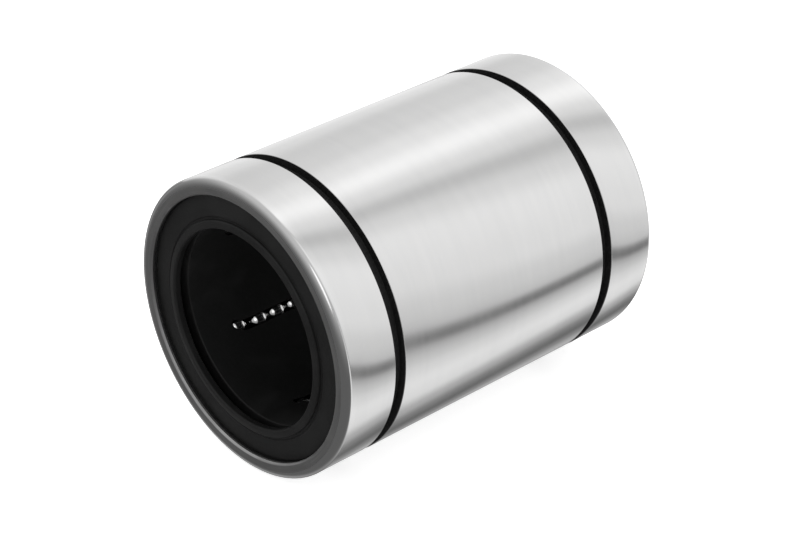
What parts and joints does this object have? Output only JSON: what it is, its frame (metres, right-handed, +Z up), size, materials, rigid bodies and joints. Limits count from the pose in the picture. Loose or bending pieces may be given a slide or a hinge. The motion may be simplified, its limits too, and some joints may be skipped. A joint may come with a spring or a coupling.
{
  "type": "linear ball bearing",
  "caption": "Closed linear ball bearing: a ground steel sleeve with two circlip grooves, a black ball cage with recirculating balls, and a rubber seal at each end.",
  "frame": {"origin": "on the bearing's axis, midway between its two end faces", "axes": "+Y along the bearing's axis from the front seal to the rear seal; +Z up, as the bearing lies on its side; +X to the right seen from the front end"},
  "size_m": [0.052, 0.07, 0.052],
  "materials": {
    "ground_steel": "ground",
    "ball_steel": "lapped",
    "spring_steel": "oil black",
    "black_resin": "moulded",
    "black_rubber": "matt"
  },
  "bodies": {
    "sleeve_assembly": {"outer_sleeve": "ground_steel", "ball_cage": "black_resin", "front_side_ring": "spring_steel", "rear_side_ring": "spring_steel", "front_seal": "black_rubber", "rear_seal": "black_rubber"},
    "circuit_1_load_row": {"load_row_1": "ball_steel"},
    "circuit_1_return_row": {"return_row_1": "ball_steel"},
    "circuit_1_front_turn": {"front_turn_balls_1": "ball_steel"},
    "circuit_1_rear_turn": {"rear_turn_balls_1": "ball_steel"},
    "circuit_2_load_row": {"load_row_2": "ball_steel"},
    "circuit_2_return_row": {"return_row_2": "ball_steel"},
    "circuit_2_front_turn": {"front_turn_balls_2": "ball_steel"},
    "circuit_2_rear_turn": {"rear_turn_balls_2": "ball_steel"},
    "circuit_3_load_row": {"load_row_3": "ball_steel"},
    "circuit_3_return_row": {"return_row_3": "ball_steel"},
    "circuit_3_front_turn": {"front_turn_balls_3": "ball_steel"},
    "circuit_3_rear_turn": {"rear_turn_balls_3": "ball_steel"},
    "circuit_4_load_row": {"load_row_4": "ball_steel"},
    "circuit_4_return_row": {"return_row_4": "ball_steel"},
    "circuit_4_front_turn": {"front_turn_balls_4": "ball_steel"},
    "circuit_4_rear_turn": {"rear_turn_balls_4": "ball_steel"},
    "circuit_5_load_row": {"load_row_5": "ball_steel"},
    "circuit_5_return_row": {"return_row_5": "ball_steel"},
    "circuit_5_front_turn": {"front_turn_balls_5": "ball_steel"},
    "circuit_5_rear_turn": {"rear_turn_balls_5": "ball_steel"},
    "circuit_6_load_row": {"load_row_6": "ball_steel"},
    "circuit_6_return_row": {"return_row_6": "ball_steel"},
    "circuit_6_front_turn": {"front_turn_balls_6": "ball_steel"},
    "circuit_6_rear_turn": {"rear_turn_balls_6": "ball_steel"}
  },
  "joints": [
    {"name": "circuit_1_load_row_slide", "type": "slide", "parent": "sleeve_assembly", "child": "circuit_1_load_row", "axis": [0, 1, 0], "range_m": [-0.00305, 0.00091]},
    {"name": "circuit_1_return_row_slide", "type": "slide", "parent": "sleeve_assembly", "child": "circuit_1_return_row", "axis": [0, 1, 0], "range_m": [-0.00093, 0.00307]},
    {"name": "circuit_1_front_turn_hinge", "type": "hinge", "parent": "sleeve_assembly", "child": "circuit_1_front_turn", "pos_m": [-0.01781, -0.02185, -0.00926], "axis": [0.7301, 0, 0.6833], "range_deg": [-58.47, 17.53]},
    {"name": "circuit_1_rear_turn_hinge", "type": "hinge", "parent": "sleeve_assembly", "child": "circuit_1_rear_turn", "pos_m": [-0.01781, 0.02185, -0.00926], "axis": [0.7301, 0, 0.6833], "range_deg": [-58.47, 17.53]},
    {"name": "circuit_2_load_row_slide", "type": "slide", "parent": "sleeve_assembly", "child": "circuit_2_load_row", "axis": [0, 1, 0], "range_m": [-0.00305, 0.00091]},
    {"name": "circuit_2_return_row_slide", "type": "slide", "parent": "sleeve_assembly", "child": "circuit_2_return_row", "axis": [0, 1, 0], "range_m": [-0.00093, 0.00307]},
    {"name": "circuit_2_front_turn_hinge", "type": "hinge", "parent": "sleeve_assembly", "child": "circuit_2_front_turn", "pos_m": [-0.00089, -0.02185, -0.02006], "axis": [-0.2267, 0, 0.974], "range_deg": [-58.47, 17.53]},
    {"name": "circuit_2_rear_turn_hinge", "type": "hinge", "parent": "sleeve_assembly", "child": "circuit_2_rear_turn", "pos_m": [-0.00089, 0.02185, -0.02006], "axis": [-0.2267, 0, 0.974], "range_deg": [-58.47, 17.53]},
    {"name": "circuit_3_load_row_slide", "type": "slide", "parent": "sleeve_assembly", "child": "circuit_3_load_row", "axis": [0, 1, 0], "range_m": [-0.00305, 0.00091]},
    {"name": "circuit_3_return_row_slide", "type": "slide", "parent": "sleeve_assembly", "child": "circuit_3_return_row", "axis": [0, 1, 0], "range_m": [-0.00093, 0.00307]},
    {"name": "circuit_3_front_turn_hinge", "type": "hinge", "parent": "sleeve_assembly", "child": "circuit_3_front_turn", "pos_m": [0.01693, -0.02185, -0.0108], "axis": [-0.9568, 0, 0.2907], "range_deg": [-58.47, 17.53]},
    {"name": "circuit_3_rear_turn_hinge", "type": "hinge", "parent": "sleeve_assembly", "child": "circuit_3_rear_turn", "pos_m": [0.01693, 0.02185, -0.0108], "axis": [-0.9568, 0, 0.2907], "range_deg": [-58.47, 17.53]},
    {"name": "circuit_4_load_row_slide", "type": "slide", "parent": "sleeve_assembly", "child": "circuit_4_load_row", "axis": [0, 1, 0], "range_m": [-0.00305, 0.00091]},
    {"name": "circuit_4_return_row_slide", "type": "slide", "parent": "sleeve_assembly", "child": "circuit_4_return_row", "axis": [0, 1, 0], "range_m": [-0.00093, 0.00307]},
    {"name": "circuit_4_front_turn_hinge", "type": "hinge", "parent": "sleeve_assembly", "child": "circuit_4_front_turn", "pos_m": [0.01781, -0.02185, 0.00926], "axis": [-0.7301, 0, -0.6833], "range_deg": [-58.47, 17.53]},
    {"name": "circuit_4_rear_turn_hinge", "type": "hinge", "parent": "sleeve_assembly", "child": "circuit_4_rear_turn", "pos_m": [0.01781, 0.02185, 0.00926], "axis": [-0.7301, 0, -0.6833], "range_deg": [-58.47, 17.53]},
    {"name": "circuit_5_load_row_slide", "type": "slide", "parent": "sleeve_assembly", "child": "circuit_5_load_row", "axis": [0, 1, 0], "range_m": [-0.00305, 0.00091]},
    {"name": "circuit_5_return_row_slide", "type": "slide", "parent": "sleeve_assembly", "child": "circuit_5_return_row", "axis": [0, 1, 0], "range_m": [-0.00093, 0.00307]},
    {"name": "circuit_5_front_turn_hinge", "type": "hinge", "parent": "sleeve_assembly", "child": "circuit_5_front_turn", "pos_m": [0.00089, -0.02185, 0.02006], "axis": [0.2267, 0, -0.974], "range_deg": [-58.47, 17.53]},
    {"name": "circuit_5_rear_turn_hinge", "type": "hinge", "parent": "sleeve_assembly", "child": "circuit_5_rear_turn", "pos_m": [0.00089, 0.02185, 0.02006], "axis": [0.2267, 0, -0.974], "range_deg": [-58.47, 17.53]},
    {"name": "circuit_6_load_row_slide", "type": "slide", "parent": "sleeve_assembly", "child": "circuit_6_load_row", "axis": [0, 1, 0], "range_m": [-0.00305, 0.00091]},
    {"name": "circuit_6_return_row_slide", "type": "slide", "parent": "sleeve_assembly", "child": "circuit_6_return_row", "axis": [0, 1, 0], "range_m": [-0.00093, 0.00307]},
    {"name": "circuit_6_front_turn_hinge", "type": "hinge", "parent": "sleeve_assembly", "child": "circuit_6_front_turn", "pos_m": [-0.01693, -0.02185, 0.0108], "axis": [0.9568, 0, -0.2907], "range_deg": [-58.47, 17.53]},
    {"name": "circuit_6_rear_turn_hinge", "type": "hinge", "parent": "sleeve_assembly", "child": "circuit_6_rear_turn", "pos_m": [-0.01693, 0.02185, 0.0108], "axis": [0.9568, 0, -0.2907], "range_deg": [-58.47, 17.53]}
  ],
  "couplings": [
    {"joint": "circuit_1_return_row_slide", "follows": "circuit_1_load_row_slide", "ratio": -1},
    {"joint": "circuit_1_front_turn_hinge", "follows": "circuit_1_load_row_slide", "rad_per_m": 333.33},
    {"joint": "circuit_1_rear_turn_hinge", "follows": "circuit_1_load_row_slide", "rad_per_m": 333.33},
    {"joint": "circuit_2_return_row_slide", "follows": "circuit_2_load_row_slide", "ratio": -1},
    {"joint": "circuit_2_front_turn_hinge", "follows": "circuit_2_load_row_slide", "rad_per_m": 333.33},
    {"joint": "circuit_2_rear_turn_hinge", "follows": "circuit_2_load_row_slide", "rad_per_m": 333.33},
    {"joint": "circuit_3_return_row_slide", "follows": "circuit_3_load_row_slide", "ratio": -1},
    {"joint": "circuit_3_front_turn_hinge", "follows": "circuit_3_load_row_slide", "rad_per_m": 333.33},
    {"joint": "circuit_3_rear_turn_hinge", "follows": "circuit_3_load_row_slide", "rad_per_m": 333.33},
    {"joint": "circuit_4_return_row_slide", "follows": "circuit_4_load_row_slide", "ratio": -1},
    {"joint": "circuit_4_front_turn_hinge", "follows": "circuit_4_load_row_slide", "rad_per_m": 333.33},
    {"joint": "circuit_4_rear_turn_hinge", "follows": "circuit_4_load_row_slide", "rad_per_m": 333.33},
    {"joint": "circuit_5_return_row_slide", "follows": "circuit_5_load_row_slide", "ratio": -1},
    {"joint": "circuit_5_front_turn_hinge", "follows": "circuit_5_load_row_slide", "rad_per_m": 333.33},
    {"joint": "circuit_5_rear_turn_hinge", "follows": "circuit_5_load_row_slide", "rad_per_m": 333.33},
    {"joint": "circuit_6_return_row_slide", "follows": "circuit_6_load_row_slide", "ratio": -1},
    {"joint": "circuit_6_front_turn_hinge", "follows": "circuit_6_load_row_slide", "rad_per_m": 333.33},
    {"joint": "circuit_6_rear_turn_hinge", "follows": "circuit_6_load_row_slide", "rad_per_m": 333.33}
  ]
}
